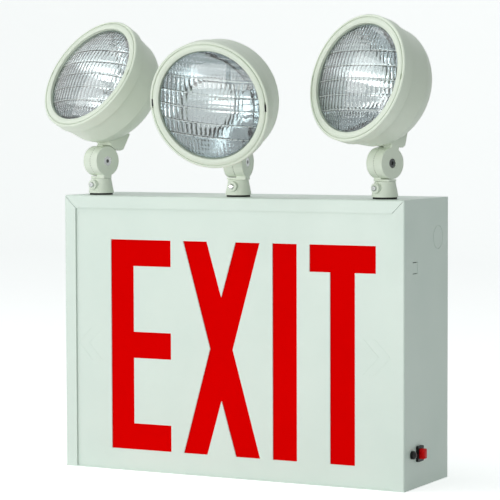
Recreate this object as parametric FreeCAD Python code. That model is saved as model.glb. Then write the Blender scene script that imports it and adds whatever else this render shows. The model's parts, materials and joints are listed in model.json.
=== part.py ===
"""Steel emergency exit light: a folded sign housing that carries three swivelling sealed-beam lamp heads.

Frame: the origin is the centre of the housing's bottom face, +Z is up and the lettered face looks along -Y.
All sizes are in millimetres and all angles in degrees.
"""
import FreeCAD, Part
import math
import os

Vec = FreeCAD.Vector
X_AXIS = Vec(1, 0, 0)
Y_AXIS = Vec(0, 1, 0)
Z_AXIS = Vec(0, 0, 1)

# ---- clearances
same_place = 0.001         # two places closer than this are one
running_gap = 0.3         # between pieces that turn or slide on each other, across the radius
face_gap = 0.2            # between two flat faces that turn on each other
fit_gap = 0.1             # a piece dropped into its pocket

# ---- housing
housing_width = 362.0
housing_height = 266.0
housing_depth = 101.6
sheet = 1.2               # folded steel
bend_radius = 1.6
frame_width = 12.3        # front flange on the left, top and right
mitre_gap = 0.4
face_recess = 2.0         # front of the flange to the front of the stencil face
face_return = 9.0         # turned edge of the stencil face
diffuser_thickness = 2.0
back_flange = 12.0        # depth of the back plate's turned edge
back_return = 10.0        # inward edge of the wrap that the back screws hold
bottom_lip = 12.8         # turned edges of the bottom plate
side_lip_inset = 6.0      # side lips stop this far short at each end

# ---- back fixing
fixing_spacing_x = 254.0
fixing_spacing_z = 152.4
fixing_hole_radius = 3.2
box_spacing = 88.9
box_hole_radius = 2.6
wire_hole_radius = 11.1
fixing_height = 133.0     # middle of the hole pattern above the bottom face

# ---- right side: conduit knockout and lanced hanging tab
knockout_radius = 11.1
knockout_groove = 0.5
knockout_from_front = 77.8
knockout_height = 229.0
tab_from_front = 24.2
tab_height = 203.1
tab_size = 11.0
tab_slit = 0.7

# ---- light box behind the sign
light_box_side_gap = 6.0  # clear of the test switch's body
light_box_headroom = 11.0  # under the lowest end of the swivel stems
light_box_depth = 22.0
light_box_sheet = 1.0
led_strip_width = 12.0
led_strip_thickness = 1.6
led_strip_length = 290.0
led_count = 10
led_radius = 2.5
led_height = 1.6

# ---- battery, charger and transformer
battery_length = 151.0
battery_depth = 50.0
battery_height = 94.0
battery_gap = 2.0         # front of the battery to the light box
battery_terminal_size = 6.0
battery_terminal_thickness = 2.0
battery_terminal_spacing = 110.0
strap_width = 20.0
strap_sheet = 1.0
strap_foot = 8.0
board_width = 96.0
board_height = 78.0
board_thickness = 1.6
board_centre_x = 108.0
board_centre_z = 172.0
standoff_length = 8.0
standoff_radius = 3.0
standoff_inset = 5.0
capacitor_radius = 6.0
capacitor_length = 16.0
capacitor_pitch = 18.0
relay_width = 19.0
relay_height = 16.0
relay_depth = 15.0
core_width = 48.0
core_height = 40.0
core_depth = 18.0
coil_width = 28.0
coil_height = 26.6
coil_depth = 34.0
transformer_x = 115.0

# ---- test switch and pilot lamp on the right side
switch_from_front = 33.0
switch_height = 31.5
switch_bezel_width = 12.7
switch_bezel_height = 14.5
switch_bezel_thickness = 2.5
switch_corner = 1.5
switch_body_margin = 1.2
switch_body_depth = 15.0
button_width = 7.0
button_height = 9.2
button_stand = 4.7        # how far the button stands out of the housing
button_length = 8.5
button_travel = 1.5
button_corner = 1.0
pilot_from_front = 17.1
pilot_height = 32.0
pilot_radius = 3.9
pilot_stand = 5.0
pilot_rim = 2.6
pilot_stem_radius = 3.0
pilot_stem_length = 14.0

# ---- back screws
screw_radius = 1.6
screw_head_radius = 2.8
screw_length = 8.0
side_screw_heights = (60.0, 206.0)
top_screw_spacing = 200.0

# ---- lamp head places: side of the housing, pan, tilt, side of the fixed knuckle half, turn of the base
lamp_spacing = 152.0
lamp_from_front = 21.5
tilt_axis_height = 32.9   # above the housing top
lamps = (
    ("left", -1, -18.0, 30.2, 1, -9.0),
    ("middle", 0, 4.2, -12.3, 1, 0.0),
    ("right", 1, -20.6, 14.2, -1, -18.5),
)

# ---- swivel base
gasket_radius = 11.2
gasket_thickness = 1.8
base_height = 14.2
base_foot_radius = 11.5
base_foot_height = 2.2
base_top_radius = 9.6
nipple_radius = 6.6
nipple_length = 9.0       # below the housing top
stem_radius = 5.2
stem_bore_radius = 3.4
stem_end = 1.0            # the stem ends this far below the nipple
nut_flats = 19.0
nut_thickness = 4.0
nut_notch_radius = nut_flats  # room in the panel's top edge to turn the nut
lock_height = 10.0        # lock screw above the housing top
lock_boss_radius = 4.85
lock_boss_reach = 14.0
lock_screw_radius = 1.6
lock_head_radius = 2.6
lock_head_height = 2.2
lock_slot_width = 0.6
lock_groove_depth = 0.8

# ---- knuckle
barrel_radius = 14.5
knuckle_half = 10.0       # thickness of each half along the tilt axis
neck_depth = 11.0
neck_corner = 1.5
knuckle_edge = 0.6
tilt_screw_radius = 1.75
tilt_head_radius = 3.8
tilt_head_height = 2.6
recess_radius = 4.4
recess_depth = 3.4
nut_pocket_depth = 3.2
tilt_nut_flats = 8.7
tilt_nut_thickness = 3.0
upper_neck_height = 16.8  # tilt axis to the underside of the lamp's foot

# ---- lamp head, measured from the tilt axis and from the front of the bezel
lamp_reach = 55.8         # tilt axis to the bezel's front
lamp_height = 66.4        # tilt axis to the lamp's own axis
bezel_opening = 50.9
bezel_band_radius = 56.3
bezel_groove = 0.9
bezel_groove_depth = 1.2
bezel_radius = 59.4
bezel_lip_setback = 0.8
bezel_band_thickness = 3.4
bezel_skirt = 12.0
bezel_skirt_wall = 1.6
bezel_slot_length = 5.0
shell_wall = 2.2
shell_depth = 62.0
shell_taper_start = 14.0
shell_shoulder_depth = 36.0
shell_shoulder_radius = 55.6
shell_back_radius = 30.0
shell_bulge = 4.5         # how far the shoulder's arc stands off its chord
foot_width = 20.0
foot_rear = 12.0          # behind the tilt axis
foot_front = 16.0
foot_chamfer = 2.9
foot_height = 20.0
lens_radius = 55.4
lens_thickness = 3.0
lens_rise = 7.0
rim_thickness = 3.0
rim_width = 3.0
reflector_focus = 16.2
reflector_floor = 48.0
reflector_wall = 2.2
parabola_spans = 6        # spans of the curve through the parabola
stub_radius = 13.0
stub_end = 54.0
terminal_radius = 3.0
terminal_length = 3.0
terminal_spacing = 14.0
filament_post_radius = 0.7
filament_radius = 0.9
filament_span = 12.0

# ---- places worked out from the sizes
half_width = housing_width / 2
front = -housing_depth / 2
back = housing_depth / 2
tray_front = back - back_flange
inner_half = half_width - sheet
inner_top = housing_height - sheet
face_front = front + face_recess
face_back = face_front + sheet
diffuser_back = face_back + diffuser_thickness
light_box_back_y = diffuser_back + light_box_depth
light_box_width = 2 * (half_width - switch_body_depth - light_box_side_gap)
light_box_bottom = sheet + bottom_lip
light_box_top = housing_height - nipple_length - stem_end - light_box_headroom
battery_front = light_box_back_y + battery_gap
battery_back = battery_front + battery_depth
battery_top = sheet + battery_height
pan_y = front + lamp_from_front
base_bottom = gasket_thickness
base_top = base_bottom + base_height
skirt_inner = bezel_radius - bezel_skirt_wall
lens_front = bezel_band_thickness
rim_front = lens_front + lens_thickness
rim_back = rim_front + rim_thickness
reflector_mouth = lens_radius - rim_width
reflector_rise = reflector_mouth ** 2 / (4 * reflector_focus)
reflector_apex = rim_front + reflector_rise


def box(x0, x1, y0, y1, z0, z1):
    return Part.makeBox(x1 - x0, y1 - y0, z1 - z0, Vec(x0, y0, z0))


def rod(radius, start, axis, length):
    return Part.makeCylinder(radius, length, start, axis)


def ring(outer, inner, start, axis, length):
    return rod(outer, start, axis, length).cut(rod(inner, start, axis, length))


def hexagon(flats, start, axis, length):
    """A hexagonal prism about an axis, with its flats the given distance apart."""
    corner = flats / math.sqrt(3)
    across = Z_AXIS if axis != Z_AXIS else X_AXIS
    other = axis.cross(across)
    turns = [math.radians(60 * n) for n in range(7)]
    rim = [start + across * (corner * math.cos(t)) + other * (corner * math.sin(t)) for t in turns]
    return Part.Face(Part.makePolygon(rim)).extrude(axis * length)


def turned(edges):
    """A solid of revolution about Y from the edges of a closed profile, whose X is the radius."""
    return Part.Face(Part.Wire(edges)).revolve(Vec(0, 0, 0), Y_AXIS, 360)


def bowed(start, end, bulge):
    """An arc from start to end that stands off its chord by bulge, away from the axis and to the rear."""
    chord = end - start
    side = Vec(chord.y, -chord.x, 0)
    side.normalize()
    middle = (start + end) * 0.5 + side * bulge
    return Part.Arc(start, middle, end).toShape()


def edges_along(shape, axis, test):
    """Straight edges of a shape that run along an axis and whose middle passes a test."""
    found = []
    for edge in shape.Edges:
        ends = edge.Vertexes
        if len(ends) == 2 and abs((ends[1].Point - ends[0].Point).normalize().dot(axis)) > 0.999:
            if test(edge.CenterOfMass):
                found.append(edge)
    return found


def rounded_block(width, height, length, corner, axis_start):
    """A block along +X with rounded long edges, centred in Y and Z on its start point."""
    x, y, z = axis_start
    block = box(x, x + length, y - width / 2, y + width / 2, z - height / 2, z + height / 2)
    return block.makeFillet(corner, edges_along(block, X_AXIS, lambda middle: True))


# ---- housing

def screw_places():
    """Centres of the back screws, through the back plate and the wrap's rear edge."""
    inset = sheet + sheet + back_return / 2
    sides = [Vec(s * (half_width - inset), back, z) for s in (-1, 1) for z in side_screw_heights]
    tops = [Vec(s * top_screw_spacing / 2, back, housing_height - inset) for s in (-1, 1)]
    return sides + tops


def screw_hole(place, radius):
    return rod(radius, place, -Y_AXIS, screw_length)


def housing_wrap():
    """Top and sides from one folded sheet, with the mitred front flange and the stepped rear edge."""
    block = box(-half_width, half_width, front, tray_front, sheet, housing_height)
    corners = edges_along(block, Z_AXIS, lambda middle: middle.y < 0)
    corners += edges_along(block, X_AXIS, lambda middle: middle.y < 0 and middle.z > 2 * sheet)
    corners += edges_along(block, Y_AXIS, lambda middle: middle.z > 2 * sheet)
    wrap = block.makeFillet(bend_radius, corners)
    wrap = wrap.cut(box(-inner_half, inner_half, front + sheet, tray_front, sheet, inner_top))
    opening = half_width - frame_width
    wrap = wrap.cut(box(-opening, opening, front, front + sheet, sheet, housing_height - frame_width))
    for side in (-1, 1):
        wrap = wrap.cut(mitre_cut(side))
    wrap = wrap.fuse(rear_step())
    wrap = wrap.cut(side_features())
    for name, place, pan, tilt, half, base_turn in lamps:
        wrap = wrap.cut(rod(nipple_radius, Vec(place * lamp_spacing, pan_y, inner_top), Z_AXIS, sheet))
    for place in screw_places():
        wrap = wrap.cut(screw_hole(place, screw_radius))
    return wrap.removeSplitter()


def mitre_cut(side):
    """The open seam where the top flange meets a side flange, from the inner corner to the fold."""
    length = frame_width * math.sqrt(2)
    seam = box(-mitre_gap, length, front, front + sheet, -mitre_gap / 2, mitre_gap / 2)
    seam.rotate(Vec(0, 0, 0), Y_AXIS, -45)
    seam.translate(Vec(half_width - frame_width, 0, housing_height - frame_width))
    fold = half_width - bend_radius
    seam = seam.common(box(0, fold, front, front + sheet, 0, housing_height - bend_radius))
    if side < 0:
        seam = seam.mirror(Vec(0, 0, 0), X_AXIS)
    return seam


def rear_step():
    """The wrap's rear edge, stepped in by one sheet so that the back plate's flange lies flush over it."""
    start = tray_front - sheet
    end = back - sheet
    step = box(-inner_half, inner_half, start, end, sheet, inner_top)
    wall = inner_half - sheet
    step = step.cut(box(-wall, wall, start, end - sheet, sheet, inner_top - sheet))
    inset = sheet + back_return
    step = step.cut(box(-inner_half + inset, inner_half - inset, start, end, sheet, inner_top - inset))
    floor_edge = box(-wall, wall, start, end, sheet, 2 * sheet)
    return step.cut(floor_edge)


def side_features():
    """Cuts in the right side: knockout groove, lanced tab slits, switch hole and pilot lamp hole."""
    knockout = ring(knockout_radius, knockout_radius - knockout_groove,
                    Vec(half_width - sheet / 2, front + knockout_from_front, knockout_height), X_AXIS, sheet)
    y0 = front + tab_from_front - tab_size / 2
    y1 = y0 + tab_size
    z0 = tab_height - tab_size / 2
    z1 = z0 + tab_size
    slits = [
        box(inner_half, half_width, y0, y1, z1 - tab_slit, z1),
        box(inner_half, half_width, y0, y1, z0, z0 + tab_slit),
        box(inner_half, half_width, y1 - tab_slit, y1, z0, z1),
    ]
    holes = [switch_barrel(), pilot_stem()]
    return knockout.multiFuse(slits + holes)


def bottom_plate():
    """The floor, whose front edge shows below the stencil face, with lips turned up inside."""
    plate = box(-half_width, half_width, front, tray_front, 0, sheet)
    top = sheet + bottom_lip
    wall = inner_half - sheet
    lips = [box(-wall, wall, diffuser_back, diffuser_back + sheet, sheet, top)]
    lip_front = diffuser_back + side_lip_inset
    lip_back = tray_front - side_lip_inset
    lips.append(box(wall, inner_half, lip_front, lip_back, sheet, top))
    lips.append(box(-inner_half, -wall, lip_front, lip_back, sheet, top))
    lips.append(box(-wall, wall, tray_front - sheet, back - sheet, sheet, 2 * sheet))
    return plate.multiFuse(lips).removeSplitter()


def back_plate():
    """The back tray, with fixing holes, outlet-box holes and the wire entry."""
    tray = box(-half_width, half_width, tray_front, back, 0, housing_height)
    tray = tray.cut(box(-inner_half, inner_half, tray_front, back - sheet, sheet, inner_top))
    sheet_front = back - sheet
    for side in (-1, 1):
        x = side * fixing_spacing_x / 2
        for level in (-1, 1):
            z = fixing_height + level * fixing_spacing_z / 2
            tray = tray.cut(rod(fixing_hole_radius, Vec(x, sheet_front, z), Y_AXIS, sheet))
        spot = Vec(side * box_spacing / 2, sheet_front, fixing_height)
        tray = tray.cut(rod(box_hole_radius, spot, Y_AXIS, sheet))
    tray = tray.cut(rod(wire_hole_radius, Vec(0, sheet_front, fixing_height), Y_AXIS, sheet))
    for place in screw_places():
        tray = tray.cut(back_screw(place))
    return tray.removeSplitter()


def back_screw(place):
    head = Part.makeCone(screw_head_radius, screw_radius, sheet, place, -Y_AXIS)
    return head.fuse(rod(screw_radius, place, -Y_AXIS, screw_length)).removeSplitter()


def back_screws():
    return Part.makeCompound([back_screw(place) for place in screw_places()])


def stencil_face():
    """The sign panel behind the flange, with its edges turned back against the inside of the wrap."""
    panel = box(-inner_half, inner_half, face_front, face_back, sheet, inner_top)
    turned_back = face_back + face_return
    rim = box(-inner_half, inner_half, face_back, turned_back, sheet, inner_top)
    wall = inner_half - sheet
    rim = rim.cut(box(-wall, wall, face_back, turned_back, sheet, inner_top - sheet))
    cut_low = sheet + bottom_lip + side_lip_inset
    rim = rim.cut(box(-inner_half, inner_half, face_back, turned_back, sheet, cut_low))
    panel = panel.fuse(rim)
    for name, place, pan, tilt, half, base_turn in lamps:
        notch = rod(nut_notch_radius, Vec(place * lamp_spacing, pan_y, inner_top - sheet), Z_AXIS, sheet)
        panel = panel.cut(notch)
    return panel.removeSplitter()


def red_diffuser():
    wide = light_box_width / 2
    return box(-wide, wide, face_back, diffuser_back, sheet, light_box_top)


def light_box_back():
    """The white tray that closes the lit space behind the diffuser."""
    wide = light_box_width / 2
    tray = box(-wide, wide, diffuser_back, light_box_back_y, light_box_bottom, light_box_top)
    wall = light_box_sheet
    return tray.cut(box(-wide + wall, wide - wall, diffuser_back, light_box_back_y - wall,
                        light_box_bottom + wall, light_box_top - wall))


def led_strip(upper):
    """One board of light-emitting diodes on the light box's floor or under its roof."""
    middle_y = (diffuser_back + light_box_back_y) / 2
    if upper:
        seat = light_box_top - light_box_sheet
        facing = -1
    else:
        seat = light_box_bottom + light_box_sheet
        facing = 1
    level = seat + facing * led_strip_thickness
    strip = box(-led_strip_length / 2, led_strip_length / 2, middle_y - led_strip_width / 2,
                middle_y + led_strip_width / 2, min(seat, level), max(seat, level))
    pitch = led_strip_length / led_count
    for n in range(led_count):
        x = (n + 0.5) * pitch - led_strip_length / 2
        strip = strip.fuse(rod(led_radius, Vec(x, middle_y, level), Z_AXIS * facing, led_height))
    return strip.removeSplitter()


def battery():
    half = battery_length / 2
    case = box(-half, half, battery_front, battery_back, sheet, battery_top)
    case = case.makeFillet(bend_radius, edges_along(case, Z_AXIS, lambda middle: True))
    middle_y = (battery_front + battery_back) / 2
    thick = battery_terminal_thickness / 2
    for side in (-1, 1):
        x = side * battery_terminal_spacing / 2
        reach = battery_terminal_size / 2
        post = box(x - reach, x + reach, middle_y - thick, middle_y + thick,
                   battery_top, battery_top + battery_terminal_size)
        case = case.fuse(post)
    return case.removeSplitter()


def battery_strap():
    """A steel band over the middle of the battery, with a foot at each end on the bottom plate."""
    half = strap_width / 2
    near = battery_front - strap_sheet
    far = battery_back + strap_sheet
    top = battery_top + strap_sheet
    band = box(-half, half, near, far, sheet, top)
    band = band.cut(box(-half, half, battery_front, battery_back, sheet, battery_top))
    band = band.fuse(box(-half, half, far, far + strap_foot, sheet, sheet + strap_sheet))
    return band.removeSplitter()


def transformer():
    """Laminated core with its coil, on the floor beside the battery."""
    middle_y = (battery_front + battery_back) / 2
    half = core_width / 2
    core = box(transformer_x - half, transformer_x + half, middle_y - core_depth / 2,
               middle_y + core_depth / 2, sheet, sheet + core_height)
    border = (core_height - coil_height) / 2
    coil = box(transformer_x - coil_width / 2, transformer_x + coil_width / 2, middle_y - coil_depth / 2,
               middle_y + coil_depth / 2, sheet + border, sheet + core_height - border)
    return core.fuse(coil).removeSplitter()


def charger_board():
    """Circuit board on four pillars from the back plate, with capacitors and a transfer relay."""
    rear = back - sheet - standoff_length
    board_front = rear - board_thickness
    x0 = board_centre_x - board_width / 2
    z0 = board_centre_z - board_height / 2
    board = box(x0, x0 + board_width, board_front, rear, z0, z0 + board_height)
    pieces = []
    for x in (x0 + standoff_inset, x0 + board_width - standoff_inset):
        for z in (z0 + standoff_inset, z0 + board_height - standoff_inset):
            pieces.append(rod(standoff_radius, Vec(x, rear, z), Y_AXIS, standoff_length))
    row = board_centre_z + board_height / 4
    for n in (-1, 0, 1):
        x = board_centre_x + n * capacitor_pitch
        start = Vec(x, board_front - capacitor_length, row)
        pieces.append(rod(capacitor_radius, start, Y_AXIS, capacitor_length))
    low = board_centre_z - board_height / 4
    pieces.append(box(board_centre_x - relay_width / 2, board_centre_x + relay_width / 2,
                      board_front - relay_depth, board_front, low - relay_height / 2, low + relay_height / 2))
    return board.multiFuse(pieces).removeSplitter()


# ---- test switch and pilot lamp

def switch_centre():
    return Vec(half_width, front + switch_from_front, switch_height)


def switch_barrel():
    """The part of the switch that passes through the housing side."""
    centre = switch_centre()
    start = (half_width - switch_body_depth, centre.y, centre.z)
    width = switch_bezel_width - 2 * switch_body_margin
    height = switch_bezel_height - 2 * switch_body_margin
    return rounded_block(width, height, switch_body_depth, button_corner, start)


def test_switch_body():
    centre = switch_centre()
    bezel = rounded_block(switch_bezel_width, switch_bezel_height, switch_bezel_thickness, switch_corner,
                          (half_width, centre.y, centre.z))
    body = bezel.fuse(switch_barrel())
    well_floor = half_width + button_stand - button_length - button_travel - face_gap
    well = rounded_block(button_width + 2 * running_gap, button_height + 2 * running_gap,
                         half_width + switch_bezel_thickness - well_floor, button_corner,
                         (well_floor, centre.y, centre.z))
    return body.cut(well).removeSplitter()


def test_button():
    centre = switch_centre()
    start = (half_width + button_stand - button_length, centre.y, centre.z)
    button = rounded_block(button_width, button_height, button_length, button_corner, start)
    tip = half_width + button_stand
    rim = [edge for edge in button.Edges if abs(edge.CenterOfMass.x - tip) < same_place]
    return button.makeFillet(button_corner / 2, rim)


def pilot_centre():
    return Vec(half_width, front + pilot_from_front, pilot_height)


def pilot_stem():
    centre = pilot_centre()
    return rod(pilot_stem_radius, centre - X_AXIS * pilot_stem_length, X_AXIS, pilot_stem_length)


def pilot_lamp():
    """A dark dome on a short collar, with its stem through the side."""
    centre = pilot_centre()
    collar = rod(pilot_radius, centre, X_AXIS, pilot_rim)
    rise = pilot_stand - pilot_rim
    dome_radius = (pilot_radius ** 2 + rise ** 2) / (2 * rise)
    ball = Part.makeSphere(dome_radius, centre + X_AXIS * (pilot_stand - dome_radius))
    cap = ball.common(rod(pilot_radius, centre + X_AXIS * pilot_rim, X_AXIS, rise))
    return collar.multiFuse([cap, pilot_stem()]).removeSplitter()


# ---- swivel base, built with the pan axis on Z and the housing top at Z = 0

def gasket():
    return ring(gasket_radius, nipple_radius + fit_gap, Vec(0, 0, 0), Z_AXIS, gasket_thickness)


def lock_screw_tip():
    """Distance from the pan axis to the tip, inside the stem's groove."""
    return stem_radius - lock_groove_depth + running_gap


def swivel_base():
    """Flared collar with the lock-screw boss and a hollow threaded nipple below."""
    foot = rod(base_foot_radius, Vec(0, 0, base_bottom), Z_AXIS, base_foot_height)
    cone_bottom = base_bottom + base_foot_height
    cone = Part.makeCone(base_foot_radius - knuckle_edge, base_top_radius, base_top - cone_bottom,
                         Vec(0, 0, cone_bottom), Z_AXIS)
    boss = rod(lock_boss_radius, Vec(0, 0, lock_height), -Y_AXIS, lock_boss_reach)
    rim = [edge for edge in boss.Edges if edge.CenterOfMass.y < -lock_boss_reach + same_place]
    boss = boss.makeFillet(knuckle_edge, rim)
    nipple = rod(nipple_radius, Vec(0, 0, -nipple_length), Z_AXIS, nipple_length + base_bottom)
    base = foot.multiFuse([cone, boss, nipple])
    bore = rod(stem_radius + running_gap, Vec(0, 0, -nipple_length), Z_AXIS, nipple_length + base_top)
    screw_way = rod(lock_screw_radius, Vec(0, 0, lock_height), -Y_AXIS, lock_boss_reach)
    return base.cut(bore).cut(screw_way).removeSplitter()


def swivel_nut():
    nut = hexagon(nut_flats, Vec(0, 0, -sheet - nut_thickness), Z_AXIS, nut_thickness)
    return nut.cut(rod(nipple_radius, Vec(0, 0, -sheet - nut_thickness), Z_AXIS, nut_thickness))


def lock_screw():
    """Pan-head screw through the boss, its tip in the groove round the stem."""
    tip = lock_screw_tip()
    shank = rod(lock_screw_radius, Vec(0, -tip, lock_height), -Y_AXIS, lock_boss_reach - tip)
    head = rod(lock_head_radius, Vec(0, -lock_boss_reach, lock_height), -Y_AXIS, lock_head_height)
    crown = -lock_boss_reach - lock_head_height
    rim = [edge for edge in head.Edges if edge.CenterOfMass.y < crown + same_place]
    head = head.makeFillet(lock_head_height / 2, rim)
    slot = box(-lock_head_radius, lock_head_radius, -lock_boss_reach - lock_head_height,
               -lock_boss_reach - lock_head_height / 2,
               lock_height - lock_slot_width / 2, lock_height + lock_slot_width / 2)
    return shank.fuse(head).cut(slot).removeSplitter()


# ---- knuckle halves, built about the tilt axis on X; side is +1 or -1 along it

def knuckle_cheek(side):
    """One round half of the knuckle, clear of the other half by the face gap."""
    inner = face_gap / 2
    cheek = rod(barrel_radius, Vec(side * inner, 0, 0), X_AXIS * side, knuckle_half - inner)
    rim = [edge for edge in cheek.Edges if abs(edge.CenterOfMass.x - side * knuckle_half) < same_place]
    return cheek.makeFillet(knuckle_edge, rim)


def neck_block(low, high, x0, x1):
    """A length of neck along Z with rounded corners."""
    block = box(x0, x1, -neck_depth / 2, neck_depth / 2, low, high)
    outer = edges_along(block, Z_AXIS, lambda middle: abs(abs(middle.x) - knuckle_half) < same_place)
    return block.makeFillet(neck_corner, outer)


def knuckle_half_with_neck(side, direction, reach):
    """A cheek and the neck that carries it: direction is +1 for the neck above, -1 for below."""
    clear = barrel_radius + running_gap
    inner = side * face_gap / 2
    outer = side * knuckle_half
    reach_out = direction * clear
    stalk = neck_block(min(0, reach_out), max(0, reach_out), min(inner, outer), max(inner, outer))
    ends = (direction * clear, direction * reach)
    head = neck_block(min(ends), max(ends), -knuckle_half, knuckle_half)
    return knuckle_cheek(side).multiFuse([stalk, head])


def lower_knuckle(side):
    """The half that turns on the swivel base, with its hollow stem and the hexagonal nut pocket."""
    neck_end = tilt_axis_height - base_top - face_gap
    body = knuckle_half_with_neck(side, -1, neck_end)
    stem_top = -neck_end
    stem_bottom = -tilt_axis_height - nipple_length - stem_end
    stem = rod(stem_radius, Vec(0, 0, stem_bottom), Z_AXIS, stem_top - stem_bottom)
    body = body.fuse(stem)
    groove_half = lock_screw_radius + running_gap
    groove = ring(stem_radius, stem_radius - lock_groove_depth,
                  Vec(0, 0, lock_height - tilt_axis_height - groove_half), Z_AXIS, 2 * groove_half)
    body = body.cut(groove)
    wire_way = rod(stem_bore_radius, Vec(0, 0, stem_bottom), Z_AXIS, stem_top - stem_bottom)
    body = body.cut(wire_way)
    pocket_start = Vec(side * (knuckle_half - nut_pocket_depth), 0, 0)
    body = body.cut(hexagon(tilt_nut_flats + fit_gap, pocket_start, X_AXIS * side, nut_pocket_depth))
    body = body.cut(rod(tilt_screw_radius, Vec(0, 0, 0), X_AXIS * side, knuckle_half))
    return body.removeSplitter()


def upper_knuckle(side):
    """The half that tilts with the lamp, with the round recess for the screw head."""
    body = knuckle_half_with_neck(side, 1, upper_neck_height)
    recess = rod(recess_radius, Vec(side * (knuckle_half - recess_depth), 0, 0), X_AXIS * side, recess_depth)
    way = rod(tilt_screw_radius + running_gap, Vec(0, 0, 0), X_AXIS * side, knuckle_half)
    return body.cut(recess).cut(way).removeSplitter()


def tilt_screw(side):
    """The clamping screw: its head is in the upper half, on this side, and its tip is in the nut."""
    head_face = knuckle_half - recess_depth + face_gap
    tip = knuckle_half - nut_pocket_depth + tilt_nut_thickness
    shank = rod(tilt_screw_radius, Vec(-side * tip, 0, 0), X_AXIS * side, tip + head_face)
    head = rod(tilt_head_radius, Vec(side * head_face, 0, 0), X_AXIS * side, tilt_head_height)
    socket = hexagon(tilt_screw_radius * 2, Vec(side * (head_face + tilt_head_height / 2), 0, 0),
                     X_AXIS * side, tilt_head_height / 2)
    return shank.fuse(head).cut(socket).removeSplitter()


def tilt_nut(side):
    start = Vec(side * (knuckle_half - nut_pocket_depth), 0, 0)
    nut = hexagon(tilt_nut_flats, start, X_AXIS * side, tilt_nut_thickness)
    return nut.cut(rod(tilt_screw_radius, start, X_AXIS * side, tilt_nut_thickness))


# ---- lamp head, built with its own axis on Y and the bezel's front at Y = 0

def shell_form(inset):
    """The shell's outer form, or its inside when inset by the wall, as a solid of revolution."""
    front_depth = lens_front if inset == 0 else rim_back
    straight = skirt_inner - inset * 2 if inset else skirt_inner
    shoulder = Vec(shell_shoulder_radius - inset, shell_shoulder_depth, 0)
    rear = Vec(shell_back_radius - inset / 2, shell_depth - inset, 0)
    start = [Vec(0, front_depth, 0), Vec(straight, front_depth, 0)]
    start += [Vec(straight, shell_taper_start, 0), shoulder]
    edges = [Part.makeLine(a, b) for a, b in zip(start, start[1:])]
    edges.append(bowed(shoulder, rear, shell_bulge))
    centre = Vec(0, rear.y, 0)
    edges.append(Part.makeLine(rear, centre))
    edges.append(Part.makeLine(centre, start[0]))
    return turned(edges)


def lamp_shell():
    """The moulded cup with its foot, which sits on the upper knuckle."""
    cup = shell_form(0)
    low = upper_neck_height - lamp_height
    rear = lamp_reach + foot_rear
    foot = box(-foot_width / 2, foot_width / 2, lamp_reach - foot_front, rear, low, low + foot_height)
    def at_heel(middle):
        return middle.y > rear - same_place and middle.z < low + same_place

    heel = edges_along(foot, X_AXIS, at_heel)
    foot = foot.makeChamfer(foot_chamfer, heel)
    cup = cup.fuse(foot).cut(shell_form(shell_wall))
    mouth = rod(lens_radius + fit_gap, Vec(0, lens_front, 0), Y_AXIS, rim_back - lens_front)
    return cup.cut(mouth).removeSplitter()


def bezel_ring():
    """The snap-on rim: a rounded band round the lens, a fine groove, and an outer lip with its skirt."""
    groove_outer = bezel_band_radius + bezel_groove
    crown = Vec((bezel_opening + bezel_band_radius) / 2, 0, 0)
    inner = Vec(bezel_opening, bezel_lip_setback, 0)
    band_edge = Vec(bezel_band_radius, bezel_lip_setback, 0)
    points = [
        Vec(bezel_band_radius, bezel_groove_depth + bezel_lip_setback, 0),
        Vec(groove_outer, bezel_groove_depth + bezel_lip_setback, 0),
        Vec(groove_outer, bezel_lip_setback, 0),
        Vec(bezel_radius - bezel_lip_setback, bezel_lip_setback, 0),
        Vec(bezel_radius, 2 * bezel_lip_setback, 0),
        Vec(bezel_radius, bezel_skirt, 0),
        Vec(skirt_inner, bezel_skirt, 0),
        Vec(skirt_inner, bezel_band_thickness, 0),
        Vec(bezel_opening, bezel_band_thickness, 0),
    ]
    edges = [Part.Arc(inner, crown, band_edge).toShape()]
    run = [band_edge] + points + [inner]
    edges += [Part.makeLine(a, b) for a, b in zip(run, run[1:])]
    rim = turned(edges)
    for side in (-1, 1):
        x = side * (bezel_band_radius + bezel_groove / 2)
        slot = box(x - bezel_groove, x + bezel_groove, 0, bezel_band_thickness,
                   -bezel_slot_length / 2, bezel_slot_length / 2)
        rim = rim.cut(slot)
    return rim.removeSplitter()


def lens():
    """The clear front of the sealed beam: a shallow dome inside a flat edge."""
    dome = bezel_opening - running_gap
    crown = Vec(0, lens_front - lens_rise, 0)
    edge = Vec(dome, lens_front, 0)
    sphere = (dome ** 2 + lens_rise ** 2) / (2 * lens_rise)
    lean = math.asin(dome / sphere) / 2
    middle = Vec(sphere * math.sin(lean), crown.y + sphere * (1 - math.cos(lean)), 0)
    away = Vec(0, lens_thickness, 0)
    edges = [Part.Arc(crown, middle, edge).toShape()]
    run = [edge, Vec(lens_radius, lens_front, 0), Vec(lens_radius, rim_front, 0), edge + away]
    edges += [Part.makeLine(a, b) for a, b in zip(run, run[1:])]
    edges.append(Part.Arc(edge + away, middle + away, crown + away).toShape())
    edges.append(Part.makeLine(crown + away, crown))
    return turned(edges)


def parabola(apex, focus, radius, floor):
    """A parabolic edge from the given radius down to the floor depth, and its two ends."""
    deep = math.sqrt(4 * focus * (apex - floor))
    radii = [radius + (deep - radius) * n / parabola_spans for n in range(parabola_spans + 1)]
    points = [Vec(r, apex - r * r / (4 * focus), 0) for r in radii]
    curve = Part.BSplineCurve()
    curve.interpolate(points)
    return curve.toShape(), points[0], points[-1]


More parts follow.
